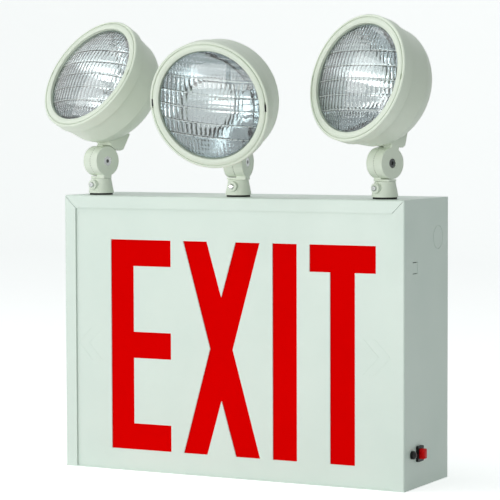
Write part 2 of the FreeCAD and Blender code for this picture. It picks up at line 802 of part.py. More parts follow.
def reflector():
    """The glass bowl of the sealed beam, with its rim, parabola and rear stub."""
    inner, inner_top_point, inner_floor = parabola(
        reflector_apex, reflector_focus, reflector_mouth, reflector_floor)
    deep = reflector_floor + reflector_wall
    outer, outer_top, outer_floor = parabola(
        rim_back + reflector_rise, reflector_focus, reflector_mouth, deep)
    run = [inner_top_point, Vec(lens_radius, rim_front, 0), Vec(lens_radius, rim_back, 0), outer_top]
    edges = [Part.makeLine(a, b) for a, b in zip(run, run[1:])]
    edges.append(outer)
    tail = [outer_floor, Vec(stub_radius, deep, 0), Vec(stub_radius, stub_end, 0), Vec(0, stub_end, 0),
            Vec(0, reflector_floor, 0), inner_floor]
    edges += [Part.makeLine(a, b) for a, b in zip(tail, tail[1:])]
    edges.append(inner)
    return turned(edges)


def filament():
    """Two posts from the reflector's floor and the coil across them."""
    focus = reflector_apex - reflector_focus
    length = reflector_floor - focus
    coil = rod(filament_radius, Vec(-filament_span / 2, focus, 0), X_AXIS, filament_span)
    inset = filament_span / 2 - filament_radius
    posts = [rod(filament_post_radius, Vec(side * inset, focus, 0), Y_AXIS, length) for side in (-1, 1)]
    return coil.multiFuse(posts).removeSplitter()


def terminals():
    places = [Vec(side * terminal_spacing / 2, stub_end, 0) for side in (-1, 1)]
    return Part.makeCompound([rod(terminal_radius, place, Y_AXIS, terminal_length) for place in places])


# ---- placing the lamp heads

def at_base(shape, x, base_turn):
    """From the swivel base's own place to its seat on the housing top, turned as it was tightened."""
    moved = shape.copy()
    moved.rotate(Vec(0, 0, 0), Z_AXIS, base_turn)
    moved.translate(Vec(x, pan_y, housing_height))
    return moved


def at_knuckle(shape, x, pan):
    """From the tilt axis's own place to the housing, turned by the pan angle."""
    moved = shape.copy()
    moved.rotate(Vec(0, 0, 0), Z_AXIS, pan)
    moved.translate(Vec(x, pan_y, housing_height + tilt_axis_height))
    return moved


def at_tilt(shape, x, pan, tilt):
    """As at_knuckle, after the head is tipped up by the tilt angle."""
    tipped = shape.copy()
    tipped.rotate(Vec(0, 0, 0), X_AXIS, -tilt)
    return at_knuckle(tipped, x, pan)


def at_head(shape, x, pan, tilt):
    """From the lamp's own axis to its place on the tilt axis, then as at_tilt."""
    raised = shape.copy()
    raised.translate(Vec(0, -lamp_reach, lamp_height))
    return at_tilt(raised, x, pan, tilt)


def lamp_pieces(name, x, pan, tilt, side, base_turn):
    """All the pieces of one lamp, by node name; side is where the fixed knuckle half lies."""
    pieces = {
        "gasket": at_base(gasket(), x, base_turn),
        "swivel_base": at_base(swivel_base(), x, base_turn),
        "swivel_nut": at_base(swivel_nut(), x, base_turn),
        "lock_screw": at_base(lock_screw(), x, base_turn),
        "lower_knuckle": at_knuckle(lower_knuckle(side), x, pan),
        "tilt_screw": at_knuckle(tilt_screw(-side), x, pan),
        "tilt_nut": at_knuckle(tilt_nut(side), x, pan),
        "upper_knuckle": at_tilt(upper_knuckle(-side), x, pan, tilt),
    }
    for part_name, make in (("lamp_shell", lamp_shell), ("bezel_ring", bezel_ring), ("lens", lens),
                            ("reflector", reflector), ("filament", filament), ("terminals", terminals)):
        pieces[part_name] = at_head(make(), x, pan, tilt)
    return {name + "_" + part_name: shape for part_name, shape in pieces.items()}


def build():
    nodes = {
        "housing_wrap": housing_wrap(),
        "bottom_plate": bottom_plate(),
        "back_plate": back_plate(),
        "back_screws": back_screws(),
        "stencil_face": stencil_face(),
        "red_diffuser": red_diffuser(),
        "light_box_back": light_box_back(),
        "upper_led_strip": led_strip(True),
        "lower_led_strip": led_strip(False),
        "battery": battery(),
        "battery_strap": battery_strap(),
        "transformer": transformer(),
        "charger_board": charger_board(),
        "test_switch_body": test_switch_body(),
        "test_button": test_button(),
        "pilot_lamp": pilot_lamp(),
    }
    for name, place, pan, tilt, side, base_turn in lamps:
        nodes.update(lamp_pieces(name, place * lamp_spacing, pan, tilt, side, base_turn))
    return nodes


os.makedirs("parts", exist_ok=True)
for node, shape in build().items():
    shape.exportStep("parts/" + node + ".step")
    print(node, "solids", len(shape.Solids), "volume", round(shape.Volume, 1), "valid", shape.isValid())
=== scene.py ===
# %% [markdown]
# # Emergency exit light
#
# A folded steel sign housing stands on a pale floor and carries three lamp heads on swivels. The rigid
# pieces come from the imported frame, which is loaded first and never moved. This lesson dresses them: it
# sets the camera and lights, gives each piece a finish, cuts the stencil panel and moulds the fluted lenses.

# %% Load the frame
import json
import math
import bmesh
import bpy
from mathutils import Matrix, Vector


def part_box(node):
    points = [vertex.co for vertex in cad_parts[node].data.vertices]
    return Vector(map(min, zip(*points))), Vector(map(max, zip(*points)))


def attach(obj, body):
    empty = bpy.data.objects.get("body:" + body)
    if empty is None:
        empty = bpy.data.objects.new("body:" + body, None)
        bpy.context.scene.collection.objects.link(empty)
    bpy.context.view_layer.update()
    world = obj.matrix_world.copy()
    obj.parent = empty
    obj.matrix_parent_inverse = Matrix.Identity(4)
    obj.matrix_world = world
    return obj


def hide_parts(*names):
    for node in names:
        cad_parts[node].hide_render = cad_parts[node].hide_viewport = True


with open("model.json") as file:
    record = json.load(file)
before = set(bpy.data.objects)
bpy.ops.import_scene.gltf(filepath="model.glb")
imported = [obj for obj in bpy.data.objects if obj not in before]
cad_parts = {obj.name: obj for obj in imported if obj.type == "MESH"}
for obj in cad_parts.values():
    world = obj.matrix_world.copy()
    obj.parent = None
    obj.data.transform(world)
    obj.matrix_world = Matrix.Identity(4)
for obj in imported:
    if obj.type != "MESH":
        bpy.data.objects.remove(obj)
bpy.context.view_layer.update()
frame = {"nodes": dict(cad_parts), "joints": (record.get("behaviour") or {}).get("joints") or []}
nodes = frame["nodes"]
mm = 0.001
scene = bpy.context.scene

# %% [markdown]
# ## Camera
#
# A long lens keeps the upright edges of the housing nearly parallel. The camera stands to the right of
# the sign and looks a little down. Three turns in order, about Z, then X, then the line of sight, say
# where it looks, and they are easier to adjust by hand than an aim point.

# %% Camera
camera_place = Vector((1.00457, -1.92191, 0.34226))
camera_azimuth = math.radians(27.67)
camera_pitch = math.radians(-3.39)
camera_roll = math.radians(-0.17)
camera_sensor = 36.0
camera_focal = 162.8
camera_near = 0.05

camera_data = bpy.data.cameras.new("camera")
camera_data.sensor_width = camera_sensor
camera_data.lens = camera_focal
camera_data.clip_start = camera_near
camera = bpy.data.objects.new("camera", camera_data)
turn = Matrix.Rotation(camera_azimuth, 4, "Z")
tip = Matrix.Rotation(math.pi / 2 + camera_pitch, 4, "X")
level = Matrix.Rotation(camera_roll, 4, "Z")
camera.matrix_world = Matrix.Translation(camera_place) @ turn @ tip @ level
scene.collection.objects.link(camera)
scene.camera = camera
print("camera stands", round(camera_place.length, 3), "m from the origin")

# %% [markdown]
# ## Floor and backdrop
#
# The floor is a pale sheet that turns up behind the object like studio paper, so there is no horizon. More
# light would make it white, but would burn out the object too. Instead its material adds white to what is
# seen of it and leaves its shading alone, so that the object's shadow stays.

# %% Floor and backdrop
def plain_material(name):
    material = bpy.data.materials.new(name)
    material.use_nodes = True
    return material, material.node_tree, material.node_tree.nodes["Principled BSDF"]


def seen_rays(tree):
    """A socket that is 1 for what is seen directly, in metal or through glass, and 0 for other light."""
    path = tree.nodes.new("ShaderNodeLightPath")
    total = path.outputs["Is Camera Ray"]
    for label in ("Is Glossy Ray", "Is Transmission Ray"):
        either = tree.nodes.new("ShaderNodeMath")
        either.operation = "MAXIMUM"
        tree.links.new(total, either.inputs[0])
        tree.links.new(path.outputs[label], either.inputs[1])
        total = either.outputs[0]
    return total


def add_glow(tree, shader, strength):
    """Adds white to what is seen of the surface, and leaves its shading."""
    level = tree.nodes.new("ShaderNodeMath")
    level.operation = "MULTIPLY"
    level.inputs[1].default_value = strength
    tree.links.new(seen_rays(tree), level.inputs[0])
    glow = tree.nodes.new("ShaderNodeEmission")
    tree.links.new(level.outputs[0], glow.inputs["Strength"])
    total = tree.nodes.new("ShaderNodeAddShader")
    tree.links.new(shader.outputs[0], total.inputs[0])
    tree.links.new(glow.outputs[0], total.inputs[1])
    tree.links.new(total.outputs[0], tree.nodes["Material Output"].inputs["Surface"])


floor_half = 4.0
backdrop_rise = 4.0
backdrop_bend = 1.0
backdrop_segments = 16
paper_white = 0.93
paper_glow = 0.57

floor_mesh = bmesh.new()
bmesh.ops.create_grid(floor_mesh, x_segments=1, y_segments=1, size=floor_half)
floor_mesh.edges.ensure_lookup_table()
rear = max(floor_mesh.edges, key=lambda edge: edge.verts[0].co.y + edge.verts[1].co.y)
grown = bmesh.ops.extrude_edge_only(floor_mesh, edges=[rear])
lifted = [item for item in grown["geom"] if isinstance(item, bmesh.types.BMVert)]
bmesh.ops.translate(floor_mesh, verts=lifted, vec=(0, 0, backdrop_rise))
crease = [edge for edge in floor_mesh.edges if len(edge.link_faces) == 2]
bmesh.ops.bevel(floor_mesh, geom=crease, offset=backdrop_bend, affect="EDGES",
                segments=backdrop_segments, profile=0.5, material=-1)
floor_data = bpy.data.meshes.new("floor")
floor_mesh.to_mesh(floor_data)
floor_mesh.free()
for face in floor_data.polygons:
    face.use_smooth = True
floor = bpy.data.objects.new("floor", floor_data)
scene.collection.objects.link(floor)
paper, paper_tree, paper_shader = plain_material("studio_paper")
paper_shader.inputs["Base Color"].default_value = (paper_white, paper_white, paper_white, 1)
paper_shader.inputs["Roughness"].default_value = 1.0
paper_shader.inputs["Specular IOR Level"].default_value = 0.0
add_glow(paper_tree, paper_shader, paper_glow)
floor_data.materials.append(paper)
print("floor faces", len(floor_data.polygons))

# %% [markdown]
# ## World and lamps
#
# The world is a soft, slightly cool grey for lighting, but shows white to the camera and to mirrors and
# glass. Four large lamps do the rest. The key stands low at the front left, a lamp at each side keeps the
# curved shells pale, and the one above lays the object's soft shadow on the floor.

# %% World
fill_colour = (0.91, 1.0, 0.985, 1)
fill_strength = 0.37

world = bpy.data.worlds.new("studio")
world.use_nodes = True
scene.world = world
world_nodes = world.node_tree.nodes
world_links = world.node_tree.links
fill = world_nodes["Background"]
fill.inputs["Color"].default_value = fill_colour
fill.inputs["Strength"].default_value = fill_strength
white = world_nodes.new("ShaderNodeBackground")
white.inputs["Color"].default_value = (1, 1, 1, 1)
white.inputs["Strength"].default_value = 1.0
chosen = world_nodes.new("ShaderNodeMixShader")
world_links.new(seen_rays(world.node_tree), chosen.inputs["Fac"])
world_links.new(fill.outputs[0], chosen.inputs[1])
world_links.new(white.outputs[0], chosen.inputs[2])
world_links.new(chosen.outputs[0], world_nodes["World Output"].inputs["Surface"])
print("fill", fill_strength)


# %% Lamps
def soft_lamp(name, place, aim, size, watts):
    data = bpy.data.lights.new(name, "AREA")
    data.shape = "RECTANGLE"
    data.size, data.size_y = size
    data.energy = watts
    lamp = bpy.data.objects.new(name, data)
    lamp.location = place
    lamp.rotation_euler = (Vector(aim) - Vector(place)).to_track_quat("-Z", "Y").to_euler()
    scene.collection.objects.link(lamp)


soft_lamp("key_lamp", (-0.6, -2.15, 0.4), (0, 0, 0.12), (1.2, 0.7), 12.5)
soft_lamp("left_lamp", (-1.6, -1.0, 1.2), (0, 0, 0.3), (0.9, 0.9), 6)
soft_lamp("right_lamp", (0.6, -1.8, 0.3), (0, 0, 0.2), (1.0, 0.5), 4.2)
soft_lamp("top_lamp", (-0.6, -0.35, 2.1), (0, 0, 0.2), (1.1, 1.1), 7.5)
scene.view_settings.view_transform = "Standard"

# %% [markdown]
# ## Shared surface effects
#
# Sprayed steel, moulded plastic and cast metal all have a fine relief and a slight unevenness of gloss. One
# node group makes the relief as a height, and another a soft mask. Each material then asks for its own
# grain size. Both read Object coordinates, so that the grain stays on the piece when it turns.

# %% Node groups
def new_group(name, inputs, outputs):
    group = bpy.data.node_groups.new(name, "ShaderNodeTree")
    for label, default in inputs:
        socket = group.interface.new_socket(label, in_out="INPUT", socket_type="NodeSocketFloat")
        socket.default_value = default
    for label in outputs:
        group.interface.new_socket(label, in_out="OUTPUT", socket_type="NodeSocketFloat")
    return group, group.nodes.new("NodeGroupInput"), group.nodes.new("NodeGroupOutput")


def fine_relief_group():
    """Height of a grain whose size is given in millimetres."""
    group, given, result = new_group("fine_relief", [("Grain mm", 1.0), ("Detail", 3.0)], ["Height"])
    coordinates = group.nodes.new("ShaderNodeTexCoord")
    scale = group.nodes.new("ShaderNodeMath")
    scale.operation = "DIVIDE"
    scale.inputs[0].default_value = 1.0 / mm
    noise = group.nodes.new("ShaderNodeTexNoise")
    group.links.new(given.outputs["Grain mm"], scale.inputs[1])
    group.links.new(scale.outputs[0], noise.inputs["Scale"])
    group.links.new(given.outputs["Detail"], noise.inputs["Detail"])
    group.links.new(coordinates.outputs["Object"], noise.inputs["Vector"])
    group.links.new(noise.outputs["Fac"], result.inputs["Height"])
    return group


noise_low, noise_high = 0.35, 0.65


def handling_group():
    """A soft mask of patches, from Low to High, for gloss that varies with handling."""
    group, given, result = new_group("handling", [("Patch mm", 40.0), ("Low", 0.4), ("High", 0.5)],
                                     ["Value"])
    coordinates = group.nodes.new("ShaderNodeTexCoord")
    scale = group.nodes.new("ShaderNodeMath")
    scale.operation = "DIVIDE"
    scale.inputs[0].default_value = 1.0 / mm
    noise = group.nodes.new("ShaderNodeTexNoise")
    noise.inputs["Detail"].default_value = 4.0
    spread = group.nodes.new("ShaderNodeMapRange")
    spread.inputs["From Min"].default_value = noise_low
    spread.inputs["From Max"].default_value = noise_high
    group.links.new(given.outputs["Patch mm"], scale.inputs[1])
    group.links.new(scale.outputs[0], noise.inputs["Scale"])
    group.links.new(coordinates.outputs["Object"], noise.inputs["Vector"])
    group.links.new(noise.outputs["Fac"], spread.inputs["Value"])
    group.links.new(given.outputs["Low"], spread.inputs["To Min"])
    group.links.new(given.outputs["High"], spread.inputs["To Max"])
    group.links.new(spread.outputs["Result"], result.inputs["Value"])
    return group


fine_relief = fine_relief_group()
handling = handling_group()
print("groups", [g.name for g in bpy.data.node_groups])

# %% [markdown]
# ## Finishes
#
# Every finish but the clear glass is made by one function: a colour that drifts slightly between two
# shades, a roughness that varies with handling and a bump from the fine relief. The sheet steel has the
# orange-peel of sprayed enamel, the lamp housings a finer moulded texture, and the metal pieces only a
# light grain.

# %% Finish builder
def srgb(red, green, blue):
    """A colour given as 0 to 255 screen values, as the linear numbers a shader wants."""
    def linear(value):
        part = value / 255
        return part / 12.92 if part <= 0.04045 else ((part + 0.055) / 1.055) ** 2.4
    return (linear(red), linear(green), linear(blue), 1)


def place_group(tree, group, **values):
    node = tree.nodes.new("ShaderNodeGroup")
    node.node_tree = group
    for label, value in values.items():
        node.inputs[label.replace("_", " ")].default_value = value
    return node


tone_patch_share = 1.7


def finish(name, shade, other, roughness, grain, bump, patch=40.0, metallic=0.0, coat=0.0,
           specular=0.5):
    """A finish from two shades, (low, high) roughness, grain and patch sizes in mm and bump depth in mm.

    The two shades drift over larger patches than the gloss does.
    """
    material, tree, shader = plain_material(name)
    tone = place_group(tree, handling, Patch_mm=patch * tone_patch_share, Low=0.0, High=1.0)
    blend = tree.nodes.new("ShaderNodeMix")
    blend.data_type = "RGBA"
    blend.inputs["A"].default_value = shade
    blend.inputs["B"].default_value = other
    tree.links.new(tone.outputs["Value"], blend.inputs["Factor"])
    tree.links.new(blend.outputs["Result"], shader.inputs["Base Color"])
    gloss = place_group(tree, handling, Patch_mm=patch, Low=roughness[0], High=roughness[1])
    tree.links.new(gloss.outputs["Value"], shader.inputs["Roughness"])
    relief = place_group(tree, fine_relief, Grain_mm=grain, Detail=3.0)
    raised = tree.nodes.new("ShaderNodeBump")
    raised.inputs["Distance"].default_value = bump * mm
    tree.links.new(relief.outputs["Height"], raised.inputs["Height"])
    tree.links.new(raised.outputs["Normal"], shader.inputs["Normal"])
    shader.inputs["Metallic"].default_value = metallic
    shader.inputs["Coat Weight"].default_value = coat
    shader.inputs["Specular IOR Level"].default_value = specular
    return material


# %% The finishes by slot
finishes = {
    "white_steel": finish("white_steel", srgb(222, 234, 225), srgb(218, 231, 222), (0.34, 0.42), 1.6, 0.02),
    "white_tray": finish("white_tray", srgb(236, 238, 236), srgb(231, 234, 231), (0.4, 0.5), 1.2, 0.02),
    "red_acrylic": finish("red_acrylic", srgb(226, 1, 1), srgb(222, 1, 1), (0.5, 0.6), 3.0, 0.005,
                          specular=0.0),
    "led_board": finish("led_board", srgb(235, 235, 225), srgb(225, 225, 210), (0.4, 0.5), 0.8, 0.02),
    "battery_case": finish("battery_case", srgb(52, 54, 58), srgb(44, 46, 50), (0.45, 0.6), 0.7, 0.06),
    "zinc_steel": finish("zinc_steel", srgb(196, 200, 200), srgb(180, 184, 182),
                         (0.25, 0.4), 0.4, 0.01, 6, 1.0),
    "dark_steel": finish("dark_steel", srgb(88, 92, 92), srgb(72, 74, 74), (0.35, 0.5), 0.4, 0.02, 6, 1.0),
    "core_steel": finish("core_steel", srgb(92, 90, 88), srgb(70, 68, 66), (0.5, 0.7), 0.5, 0.05, 10, 0.8),
    "green_board": finish("green_board", srgb(24, 96, 52), srgb(18, 82, 44), (0.3, 0.45), 0.8, 0.02),
    "black_plastic": finish("black_plastic", srgb(14, 14, 15), srgb(10, 10, 11), (0.35, 0.5), 0.5, 0.03, 8,
                            specular=0.25),
    "pilot_black": finish("pilot_black", srgb(10, 9, 10), srgb(7, 6, 7), (0.15, 0.25), 0.8, 0.01, 8,
                          specular=0.3),
    "red_button": finish("red_button", srgb(224, 4, 6), srgb(214, 2, 4), (0.35, 0.45), 0.6, 0.02, 8,
                         specular=0.12),
    "rubber_gasket": finish("rubber_gasket", srgb(22, 23, 22), srgb(16, 17, 16), (0.7, 0.85), 0.5, 0.05, 8),
    "cream_plastic": finish("cream_plastic", srgb(225, 233, 218), srgb(220, 228, 212),
                            (0.34, 0.44), 0.9, 0.03),
    "filament_metal": finish("filament_metal", srgb(150, 146, 138), srgb(128, 124, 116),
                             (0.3, 0.4), 0.3, 0.01, 3, 1.0),
    "brass_terminal": finish("brass_terminal", srgb(196, 164, 88), srgb(180, 148, 76),
                             (0.25, 0.4), 0.3, 0.01, 4, 1.0),
    "mirror_glass": finish("mirror_glass", srgb(190, 197, 200), srgb(184, 192, 194),
                           (0.05, 0.08), 4.0, 0.01, 20, 1.0),
}
print("finishes", len(finishes))

# %% [markdown]
# ## Clear glass
#
# The lens is pressed clear glass. Its metallic and transmission values stay plain numbers, and only the
# roughness varies, very slightly, as pressed glass does. The short raised dashes between the bands of
# flutes have an opaque pale finish, which is a painted highlight, and the rim where the lens is fused to the
# reflector has an opaque grey one, which is painted shade.

# %% Lens glass
def lens_glass():
    material, tree, shader = plain_material("lens_glass")
    shader.inputs["Base Color"].default_value = (0.98, 1.0, 0.99, 1)
    shader.inputs["Transmission Weight"].default_value = 1.0
    shader.inputs["IOR"].default_value = 1.5
    gloss = place_group(tree, handling, Patch_mm=12.0, Low=0.0, High=0.04)
    tree.links.new(gloss.outputs["Value"], shader.inputs["Roughness"])
    return material


finishes["lens_glass"] = lens_glass()
# painted highlight: an opaque pale finish for the raised dashes
finishes["lens_ridge_highlight"] = finish("lens_ridge_highlight", srgb(226, 234, 230), srgb(214, 224, 220),
                                (0.25, 0.35), 1.0, 0.01, 8)
# painted shade: an opaque grey finish for the lens rim
finishes["lens_rim_shade"] = finish("lens_rim_shade", srgb(150, 162, 152), srgb(132, 145, 136),
                               (0.15, 0.25), 1.0, 0.01, 8)
for node in nodes.values():
    for index, material in enumerate(node.data.materials):
        node.data.materials[index] = finishes[material.name]

# %% [markdown]
# ## New pieces
#
# Each new piece is a bmesh that is turned into an object at the origin. It is given its finish, its body
# and the frame's piece that it stands for in one call, so that nothing is left without them.

# %% Making a piece
def make_piece(name, shape, slot, body, stands_for=None, smooth=False, others=()):
    """An object from a bmesh; others are the finishes of its faces with a material index above 0."""
    data = bpy.data.meshes.new(name)
    shape.to_mesh(data)
    shape.free()
    for label in (slot, *others):
        data.materials.append(finishes[label])
    for face in data.polygons:
        face.use_smooth = smooth
    piece = bpy.data.objects.new(name, data)
    scene.collection.objects.link(piece)
    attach(piece, body)
    if stands_for:
        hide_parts(stands_for)
    print(name, "faces", len(data.polygons))
    return piece


def rounded_bar(shape, low, high, edge, segments=3):
    """Adds a bar between two corners, with its edges rounded, and returns its vertices."""
    made = bmesh.ops.create_cube(shape, size=1.0)["verts"]
    bmesh.ops.scale(shape, vec=high - low, verts=made)
    bmesh.ops.translate(shape, vec=(low + high) / 2, verts=made)
    edges = list({line for vertex in made for line in vertex.link_edges})
    rounded = bmesh.ops.bevel(shape, geom=edges, offset=edge, affect="EDGES", segments=segments,
                              profile=0.5, material=-1)
    return rounded["verts"]


# %% [markdown]
# ## The stencil panel
#
# The sign's word is stamped out of a steel panel and red acrylic lies right behind it. A flat face is
# sliced where the strokes begin and end, the faces inside the strokes are deleted and the rest is given
# its thickness. Slicing suits straight strokes: it keeps every edge exact, which a boolean may not.
# The letters are plain blocks of one height, with one width for every upright and level stroke.

# %% Letter sizes
letter_height = 203.2 * mm
letter_stroke = 25.4 * mm
letter_bottom = 20.55 * mm
e_left, e_right = -129.7 * mm, -63.3 * mm
x_middle, x_half = -8.6 * mm, 41.1 * mm
x_waist_half, x_notch_half, x_notch_depth = 12.2 * mm, 15.4 * mm, 52.2 * mm
i_left = 45.8 * mm
t_left, t_right = 84.3 * mm, 151.8 * mm
letter_top = letter_bottom + letter_height
letter_middle = letter_bottom + letter_height / 2
x_left, x_right = x_middle - x_half, x_middle + x_half
t_centre = (t_left + t_right) / 2
print("stroke", round(letter_stroke / mm, 1), "mm in a height of", round(letter_height / mm, 1), "mm")


def in_e(x, z):
    if not e_left < x < e_right:
        return False
    near_bar = min(abs(z - level) for level in (letter_bottom + letter_stroke / 2, letter_middle,
                                                letter_top - letter_stroke / 2)) < letter_stroke / 2
    return x < e_left + letter_stroke or near_bar


def in_x(x, z):
    away = abs(x - x_middle)
    high = abs(z - letter_middle) / (letter_height / 2)
    outer = x_waist_half + (x_half - x_waist_half) * high
    notch_start = 1 - x_notch_depth / (letter_height / 2)
    notch = x_notch_half * (high - notch_start) / (1 - notch_start)
    return away < outer and away > notch


def in_i(x, z):
    return i_left < x < i_left + letter_stroke


def in_t(x, z):
    near_stem = abs(x - t_centre) < letter_stroke / 2
    return t_left < x < t_right and (z > letter_top - letter_stroke or near_stem)


def in_word(x, z):
    return letter_bottom < z < letter_top and (in_e(x, z) or in_x(x, z) or in_i(x, z) or in_t(x, z))


# %% [markdown]
# ## Slicing
#
# A cut goes through a flat sheet the way a guillotine does, along one line at a time. bisect_plane does
# that for a set of faces. Upright cuts cross the whole sheet. The others cross only the column of faces
# that a letter or an arrow-head stands in, and leave its neighbours whole.

# %% Slicing helpers
slice_tolerance = 1e-7


def slice_faces(shape, faces, place, normal):
    """Cuts the given faces along a plane."""
    geometry = set(faces)
    for face in faces:
        geometry.update(face.edges)
        geometry.update(face.verts)
    bmesh.ops.bisect_plane(shape, geom=list(geometry), dist=slice_tolerance, plane_co=place, plane_no=normal)


def faces_between(shape, left, right):
    return [face for face in shape.faces if left < face.calc_center_median().x < right]


def slice_upright(shape, x):
    slice_faces(shape, shape.faces[:], (x, 0, 0), (1, 0, 0))


def slice_level(shape, left, right, z):
    slice_faces(shape, faces_between(shape, left, right), (0, 0, z), (0, 0, 1))


def slice_slant(shape, left, right, start, end):
    """Cuts along the line from start to end, each (x, z), in the faces between left and right."""
    along = Vector((end[0] - start[0], 0, end[1] - start[1]))
    slice_faces(shape, faces_between(shape, left, right), (start[0], 0, start[1]),
                along.cross(Vector((0, 1, 0))))


# %% [markdown]
# ## Chevron knockouts
#
# An arrow-head is scored into the steel at each side of the word, to be knocked out on the side that the
# exit lies. It is one formula, mirrored, so both stay alike. A score is a shallow pressed line: the shape
# is inset by the line's width, and the narrow ring that this leaves is set back.

# %% Chevron sizes
chevron_tip = 166.6 * mm
chevron_height = 33.3 * mm
chevron_depth = 15.6 * mm
chevron_width = 12.0 * mm
chevron_level = 121.9 * mm
score_width = 0.3 * mm
score_depth = 0.2 * mm
chevron_inner = chevron_tip - chevron_depth - chevron_width


def in_chevron(x, z):
    """Inside either arrow-head knockout, which lie one at each side of the word."""
    back_from_tip = chevron_tip - abs(x)
    rise = abs(z - chevron_level)
    if rise > chevron_height / 2:
        return False
    slope = chevron_depth * rise / (chevron_height / 2)
    return slope < back_from_tip < slope + chevron_width


def chevron_faces(shape, side, apart_from=()):
    """Faces inside the arrow-head on one side of the word."""
    chosen = []
    for face in shape.faces:
        middle = face.calc_center_median()
        if middle.x * side > 0 and in_chevron(middle.x, middle.z) and face not in apart_from:
            chosen.append(face)
    return chosen


def sink_score(shape, side):
    """Presses in the outline of the arrow-head on one side."""
    mark = chevron_faces(shape, side)
    inner = set(mark)
    bmesh.ops.inset_region(shape, faces=mark, thickness=score_width, use_even_offset=True)
    score = chevron_faces(shape, side, apart_from=inner)
    sunk = bmesh.ops.extrude_face_region(shape, geom=score)
    moved = [item for item in sunk["geom"] if isinstance(item, bmesh.types.BMVert)]
    bmesh.ops.translate(shape, verts=moved, vec=(0, score_depth, 0))
    bmesh.ops.delete(shape, geom=score, context="FACES")


# %% [markdown]
# ## Cutting the panel
#
# The panel starts as one face of the right size. The upright cuts come first, because the level and
# slanting ones look for the faces between them. Then the strokes are deleted, the scores pressed and the
# sheet thickened, up to the red acrylic behind it.

# %% Cuts in the panel
def slice_uprights(shape):
    uprights = [e_left, e_left + letter_stroke, e_right, x_left, x_right, i_left, i_left + letter_stroke,
                t_left, t_centre - letter_stroke / 2, t_centre + letter_stroke / 2, t_right]
    uprights += [side * x for side in (-1, 1) for x in (chevron_tip, chevron_inner)]
    for x in uprights:
        slice_upright(shape, x)


def slice_bars(shape):
    """Level cuts at the ends of the letters and along the bars of the E and the T."""
    for left, right in ((e_left, e_right), (x_left, x_right),
                        (i_left, i_left + letter_stroke), (t_left, t_right)):
        slice_level(shape, left, right, letter_bottom)
        slice_level(shape, left, right, letter_top)
    for level in (letter_bottom + letter_stroke, letter_middle - letter_stroke / 2,
                  letter_middle + letter_stroke / 2, letter_top - letter_stroke):
        slice_level(shape, e_left + letter_stroke, e_right, level)
    slice_level(shape, t_left, t_right, letter_top - letter_stroke)


def slice_x(shape):
    """Cuts along the outer edges of the X, which meet at its waist, and along its two notches."""
    slice_level(shape, x_left, x_right, letter_middle)
    for side in (-1, 1):
        for end in (-1, 1):
            level = letter_middle + end * letter_height / 2
            waist = (x_middle + side * x_waist_half, letter_middle)
            slice_slant(shape, x_left, x_right, waist, (x_middle + side * x_half, level))
            notch = (x_middle, level - end * x_notch_depth)
            slice_slant(shape, x_left, x_right, notch, (x_middle + side * x_notch_half, level))


def slice_chevron(shape, side):
    left, right = sorted((side * chevron_tip, side * chevron_inner))
    for end in (-1, 1):
        slice_level(shape, left, right, chevron_level + end * chevron_height / 2)
    slice_level(shape, left, right, chevron_level)
    for end in (-1, 1):
        level = chevron_level + end * chevron_height / 2
        for inset in (0, chevron_width):
            tip = (side * (chevron_tip - inset), chevron_level)
            tail = (side * (chevron_tip - inset - chevron_depth), level)
            slice_slant(shape, left, right, tip, tail)


# %% Stencil panel
def blank_panel(low, high):
    """One upright face of the panel's size, at its front."""
    shape = bmesh.new()
    bmesh.ops.create_grid(shape, x_segments=1, y_segments=1, size=0.5)
    bmesh.ops.scale(shape, vec=(high.x - low.x, high.z - low.z, 1), verts=shape.verts)
    bmesh.ops.rotate(shape, verts=shape.verts, matrix=Matrix.Rotation(math.pi / 2, 3, "X"))
    bmesh.ops.translate(shape, verts=shape.verts,
                        vec=((low.x + high.x) / 2, low.y, (low.z + high.z) / 2))
    return shape


def stencil_panel():
    low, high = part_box("stencil_face")
    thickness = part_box("red_diffuser")[0].y - low.y
    shape = blank_panel(low, high)
    slice_uprights(shape)
    slice_bars(shape)
    slice_x(shape)
    for side in (-1, 1):
        slice_chevron(shape, side)
    cut = [face for face in shape.faces
           if in_word(face.calc_center_median().x, face.calc_center_median().z)]
    bmesh.ops.delete(shape, geom=cut, context="FACES")
    for side in (-1, 1):
        sink_score(shape, side)
    bmesh.ops.recalc_face_normals(shape, faces=shape.faces)
    facing = sum(face.normal.y * face.calc_area() for face in shape.faces)
    if facing > 0:
        bmesh.ops.reverse_faces(shape, faces=shape.faces)
    bmesh.ops.solidify(shape, geom=shape.faces[:], thickness=thickness)
    back = max(vertex.co.y for vertex in shape.verts)
    front = min(vertex.co.y for vertex in shape.verts)
    bmesh.ops.translate(shape, verts=shape.verts, vec=(0, low.y - front, 0))
    print("panel thickness", round((back - front) / mm, 2), "mm")
    return make_piece("stencil_panel", shape, "white_steel", "housing", "stencil_face")


stencil_panel()

# %% [markdown]
# ## Lamp axes
#
# Each lamp head is turned its own way, so its axis is read from the frame. The middle of the lens and the
# middle of the terminals both lie on it. The tilt joint's axis gives the second direction.

# %% Where each lamp points
def middle_of(name):
    """Area-weighted middle of a node's surface."""
    total, area = Vector(), 0.0
    for face in nodes[name].data.polygons:
        total += face.center * face.area
        area += face.area
    return total / area


def head_frame(name):
    """Matrix from a lamp's own axes, Y to the rear and the lens crown at the origin, to the row frame."""
    rearward = (middle_of(name + "_terminals") - middle_of(name + "_lens")).normalized()
    joint = next(j for j in frame["joints"] if j["name"] == name + "_tilt")
    across = -Vector(joint["axis"])
    across = (across - rearward * across.dot(rearward)).normalized()
    upward = across.cross(rearward)
    lens_points = [vertex.co for vertex in nodes[name + "_lens"].data.vertices]
    centre = middle_of(name + "_lens")
    crown = min((point - centre).dot(rearward) for point in lens_points)
    matrix = Matrix((across, rearward, upward)).transposed().to_4x4()
    matrix.translation = centre + rearward * crown
    return matrix


heads = {name: head_frame(name) for name in ("left", "middle", "right")}
print({name: [round(math.degrees(a), 1) for a in m.to_euler()] for name, m in heads.items()})

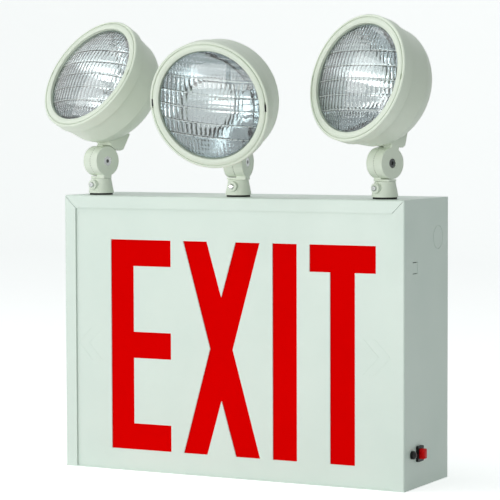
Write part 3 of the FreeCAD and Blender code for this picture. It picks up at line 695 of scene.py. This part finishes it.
# %% [markdown]
# ## Fluted lenses
#
# The outside of a sealed-beam lens is a smooth dome and its inside is pressed into upright flutes, which
# spread the beam. Five level lines part the flutes into bands. A fine grid is trimmed to a disc, given a
# back, and both sides are then moved to their depths: the front by the dome, the back by the flutes.

# %% Lens sizes
lens_radius = 54.6 * mm
dome_radius_at_edge = 50.6 * mm
dome_rise = 10.0 * mm
dome_lift = 3.0 * mm
lens_thickness = 3.0 * mm
flute_pitch = 4.8 * mm
flute_depth = 0.32 * mm
band_lines = [24.3 * mm, 10.5 * mm, -2.7 * mm, -16.5 * mm, -29.7 * mm]
band_groove = 0.8 * mm
band_groove_half = 1.3 * mm
band_barrel = 0.3 * mm
lens_rolls = {"left": 0.0, "middle": math.radians(6.0), "right": 0.0}
grid_cell = flute_pitch / 8
grid_half = 93 * grid_cell
ridge_half = 0.42 * mm
ridge_share = 0.36
edge_ring = 49.7 * mm
outer_pitch_share = 0.75
barrel_reach = 7 * mm
scallop_low = 0.35
same_place = 1e-6
valley_near = 2e-3
print("flutes across", round(2 * lens_radius / flute_pitch))


def dome_depth(radius):
    """Depth of the dome's front behind its crown."""
    sphere = (dome_radius_at_edge ** 2 + dome_rise ** 2) / (2 * dome_rise)
    return min(dome_rise, sphere - math.sqrt(sphere ** 2 - min(radius, dome_radius_at_edge) ** 2))


def flute_height(x, z):
    """How far the pressed inside stands back from a plain wall, between 0 and the flute depth."""
    band = sum(1 for line in band_lines if z < line)
    outer_band = band in (0, len(band_lines))
    pitch = flute_pitch * (outer_pitch_share if outer_band else 1.0)
    across = (x / pitch) % 1.0
    wave = 1 - (2 * across - 1) ** 2
    nearest = min(abs(z - line) for line in band_lines)
    groove = band_groove * max(0.0, 1 - nearest / band_groove_half)
    barrel = band_barrel * min(1.0, (nearest / barrel_reach) ** 2)
    ripple = abs(math.sin(math.pi * z / flute_pitch))
    scallop = scallop_low + (1 - scallop_low) * ripple if outer_band else 1.0
    return flute_depth * wave * scallop + barrel - groove


def on_ridge(x, z):
    """True on the short raised dashes where one band of flutes meets the next."""
    near = min(abs(z - line) for line in band_lines) < ridge_half
    return near and abs((x / flute_pitch) % 1.0 - 0.5) < ridge_share


# %% Lens blank
def lens_blank():
    """Two flat discs of fine squares in one mesh, and the set of the rear one's vertices."""
    shape = bmesh.new()
    steps = round(2 * grid_half / grid_cell)
    bmesh.ops.create_grid(shape, x_segments=steps, y_segments=steps, size=grid_half)
    bmesh.ops.rotate(shape, verts=shape.verts, matrix=Matrix.Rotation(math.pi / 2, 3, "X"))
    outside = {vertex for vertex in shape.verts if vertex.co.length > lens_radius}
    gone = [face for face in shape.faces if all(vertex in outside for vertex in face.verts)]
    bmesh.ops.delete(shape, geom=gone, context="FACES")
    for vertex in shape.verts:
        if vertex.co.length > lens_radius:
            vertex.co *= lens_radius / vertex.co.length
    bmesh.ops.recalc_face_normals(shape, faces=shape.faces)
    doubled = bmesh.ops.duplicate(shape, geom=shape.verts[:] + shape.edges[:] + shape.faces[:])
    return shape, {item for item in doubled["geom"] if isinstance(item, bmesh.types.BMVert)}


def mark_lens(shape, rear_set):
    """Gives the rim its painted shade and the raised dashes their painted highlight, and keeps the valleys
    between flutes sharp.
    """
    for face in shape.faces:
        x, z = face.calc_center_median().xz
        if math.hypot(x, z) > edge_ring:
            # the rim gets painted shade
            face.material_index = 2
        elif face.verts[0] in rear_set and on_ridge(x, z):
            # the dashes get a painted highlight
            face.material_index = 1
    for edge in shape.edges:
        start, end = edge.verts
        upright = abs(start.co.x - end.co.x) < same_place
        in_valley = (start.co.x / flute_pitch + valley_near / 2) % 1.0 < valley_near
        if start in rear_set and upright and in_valley:
            edge.smooth = False


# %% Fluted lens
def fluted_lens(name):
    shape, rear_set = lens_blank()
    mark_lens(shape, rear_set)
    for vertex in shape.verts:
        x, z = vertex.co.x, vertex.co.z
        depth = dome_depth(math.hypot(x, z)) - dome_lift
        vertex.co.y = depth + lens_thickness - flute_height(x, z) if vertex in rear_set else depth
    rim = [edge for edge in shape.edges if edge.is_boundary]
    bmesh.ops.bridge_loops(shape, edges=rim)
    bmesh.ops.recalc_face_normals(shape, faces=shape.faces)
    roll = Matrix.Rotation(lens_rolls[name], 4, "Y")
    bmesh.ops.transform(shape, matrix=heads[name] @ roll, verts=shape.verts)
    return make_piece(name + "_fluted_lens", shape, "lens_glass", name + "_head", name + "_lens", True,
                      ("lens_ridge_highlight", "lens_rim_shade"))


for lamp_name in heads:
    fluted_lens(lamp_name)

# %% [markdown]
# ## Reflectors
#
# Behind each lens is a silvered parabola. A mirror shows every facet of a coarse surface, so it is spun
# again here from the same curve with many steps. Its focus lies at the filament.

# %% Reflector bowls
bowl_focus = 16.2 * mm
bowl_mouth = 52.4 * mm
bowl_rim = lens_radius
bowl_mouth_depth = 10.0 * mm
bowl_floor_radius = 7.1 * mm
bowl_wall = 2.2 * mm
bowl_stub_radius = 13.0 * mm
bowl_stub_length = 3 * bowl_wall
sharp_angle = math.radians(40)
bowl_steps, bowl_turns = 40, 144


def reflector_bowl(name):
    def depth(radius):
        return bowl_mouth_depth + (bowl_mouth ** 2 - radius ** 2) / (4 * bowl_focus)

    span = bowl_mouth - bowl_floor_radius
    radii = [bowl_floor_radius + span * n / bowl_steps for n in range(bowl_steps + 1)]
    inner = [(radius, depth(radius)) for radius in radii]
    outer = [(radius, depth(radius) + bowl_wall) for radius in reversed(radii) if radius > bowl_stub_radius]
    floor_depth = depth(bowl_floor_radius)
    stub = [(bowl_stub_radius, outer[-1][1]), (bowl_stub_radius, floor_depth + bowl_stub_length)]
    rim = [(bowl_rim, bowl_mouth_depth), (bowl_rim, bowl_mouth_depth + bowl_wall)]
    outline = inner + rim + outer + stub
    shape = bmesh.new()
    points = [shape.verts.new((radius, y, 0)) for radius, y in outline]
    front_pole = shape.verts.new((0, floor_depth, 0))
    rear_pole = shape.verts.new((0, outline[-1][1], 0))
    chain = [front_pole] + points + [rear_pole]
    lines = [shape.edges.new(pair) for pair in zip(chain, chain[1:])]
    bmesh.ops.spin(shape, geom=chain + lines, cent=(0, 0, 0), axis=(0, 1, 0), angle=2 * math.pi,
                   steps=bowl_turns, use_merge=True, use_duplicate=False)
    bmesh.ops.remove_doubles(shape, verts=shape.verts, dist=same_place)
    bmesh.ops.recalc_face_normals(shape, faces=shape.faces)
    for edge in shape.edges:
        if len(edge.link_faces) == 2 and edge.calc_face_angle() > sharp_angle:
            edge.smooth = False
    bmesh.ops.transform(shape, matrix=heads[name], verts=shape.verts)
    return make_piece(name + "_reflector_bowl", shape, "mirror_glass", name + "_head",
                      name + "_reflector", True)


for lamp_name in heads:
    reflector_bowl(lamp_name)

# %% [markdown]
# ## Test button
#
# The button stands a little further out than the frame's plain one, so that a finger finds it. It keeps the
# frame's size and place, read from its box, and only its front is moved.

# %% Test button
button_reach = 2.4 * mm
button_edge = 0.9 * mm


def test_button_cap():
    low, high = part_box("test_button")
    shape = bmesh.new()
    rounded_bar(shape, Vector(low), Vector(high) + Vector((button_reach, 0, 0)), button_edge)
    return make_piece("test_button_cap", shape, "red_button", "test_push", "test_button", True)


test_button_cap()

# %% [markdown]
# ## Rim slots and their painted shade
#
# The snap-on rim has a slot at each side, for the tool that takes it off. The frame has the slots. Two thin
# black bars behind the middle lamp's slots are painted shade, put where the dark gap behind them lies.

# %% Rim slot painted shade
slot_radius = 56.75 * mm
slot_half_width = 0.85 * mm
slot_half_length = 3.3 * mm
slot_front, slot_back = 4.2 * mm, 5.2 * mm
slot_edge = 0.2 * mm


def rim_slot_shade(name):
    shape = bmesh.new()
    for side in (-1, 1):
        middle = Vector((side * slot_radius, (slot_front + slot_back) / 2, 0))
        reach = Vector((slot_half_width, (slot_back - slot_front) / 2, slot_half_length))
        rounded_bar(shape, middle - reach, middle + reach, slot_edge, 2)
    roll = Matrix.Rotation(lens_rolls[name] / 2, 4, "Y")
    bmesh.ops.transform(shape, matrix=heads[name] @ roll, verts=shape.verts)
    # black bars that are painted shade in the slot gaps
    return make_piece(name + "_rim_slot_shade", shape, "black_plastic", name + "_head")


rim_slot_shade("middle")

# %% [markdown]
# ## Painted shade between the knuckle teeth
#
# The two halves of a knuckle mesh with fine teeth, which hold the tilt. Only the dark gaps between them
# show, as a row of dots beside the seam, and the teeth are not modelled. Each gap is painted shade: one
# small dark bar is made and turned about the tilt axis for each. They all lie on the fixed half, clear of
# the half that turns.

# %% Knuckle teeth, painted shade in their gaps
barrel_radius = 14.5 * mm
tooth_width = 0.5 * mm
tooth_height = 0.95 * mm
tooth_turn = math.radians(9.0)
teeth_each_side = 6
tooth_from_seam = 0.35 * mm
tooth_sink = 0.26 * mm
tooth_half_depth = 0.3 * mm
tooth_edge = 0.1 * mm
fixed_side = {"left": -1, "middle": -1, "right": 1}


def knuckle_gap_shade(name):
    """Painted shade: short dark bars for the gaps beside the seam, on the knuckle's lower half, at its front
    and its rear.
    """
    shape = bmesh.new()
    middle = Vector((fixed_side[name] * tooth_from_seam, barrel_radius - tooth_sink, 0))
    reach = Vector((tooth_width / 2, tooth_half_depth, tooth_height / 2))
    for facing in (0, math.pi):
        for count in range(-teeth_each_side, teeth_each_side + 1):
            made = rounded_bar(shape, middle - reach, middle + reach, tooth_edge, 1)
            bmesh.ops.rotate(shape, verts=made, matrix=Matrix.Rotation(facing + count * tooth_turn, 3, "X"))
    joint = next(j for j in frame["joints"] if j["name"] == name + "_tilt")
    across = Vector(joint["axis"]).normalized()
    upward = Vector((0, 0, 1))
    place = Matrix((across, upward.cross(across), upward)).transposed().to_4x4()
    place.translation = Vector(joint["pos_m"])
    bmesh.ops.transform(shape, matrix=place, verts=shape.verts)
    return make_piece(name + "_knuckle_gap_shade", shape, "rubber_gasket", name + "_swivel")


for lamp_name in heads:
    knuckle_gap_shade(lamp_name)

# %% [markdown]
# ## Base flares
#
# Each swivel base widens towards its gasket more than the frame's does. A skirt is laid over it: five points
# give its section, and a full spin about the upright through the gasket's middle makes it round.

# %% Base flares
flare_low, flare_high, flare_inner = 12.3 * mm, 9.85 * mm, 8.6 * mm
flare_lip = 1.2 * mm
flare_gap = 0.05 * mm
flare_steps = 64


def base_flare(name):
    low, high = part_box(name + "_gasket")
    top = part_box(name + "_swivel_base")[1].z
    centre = (Vector(low) + Vector(high)) / 2
    outline = [(flare_inner, high.z), (flare_low, high.z), (flare_low, high.z + flare_lip),
               (flare_high, top - flare_gap), (flare_inner, top - flare_gap)]
    shape = bmesh.new()
    rim = [shape.verts.new((centre.x + radius, centre.y, z)) for radius, z in outline]
    loop = [shape.edges.new((a, b)) for a, b in zip(rim, rim[1:] + rim[:1])]
    bmesh.ops.spin(shape, geom=rim + loop, cent=centre, axis=(0, 0, 1), angle=2 * math.pi,
                   steps=flare_steps, use_merge=True, use_duplicate=False)
    bmesh.ops.recalc_face_normals(shape, faces=shape.faces)
    return make_piece(name + "_base_flare", shape, "cream_plastic", "housing")


for lamp_name in heads:
    base_flare(lamp_name)
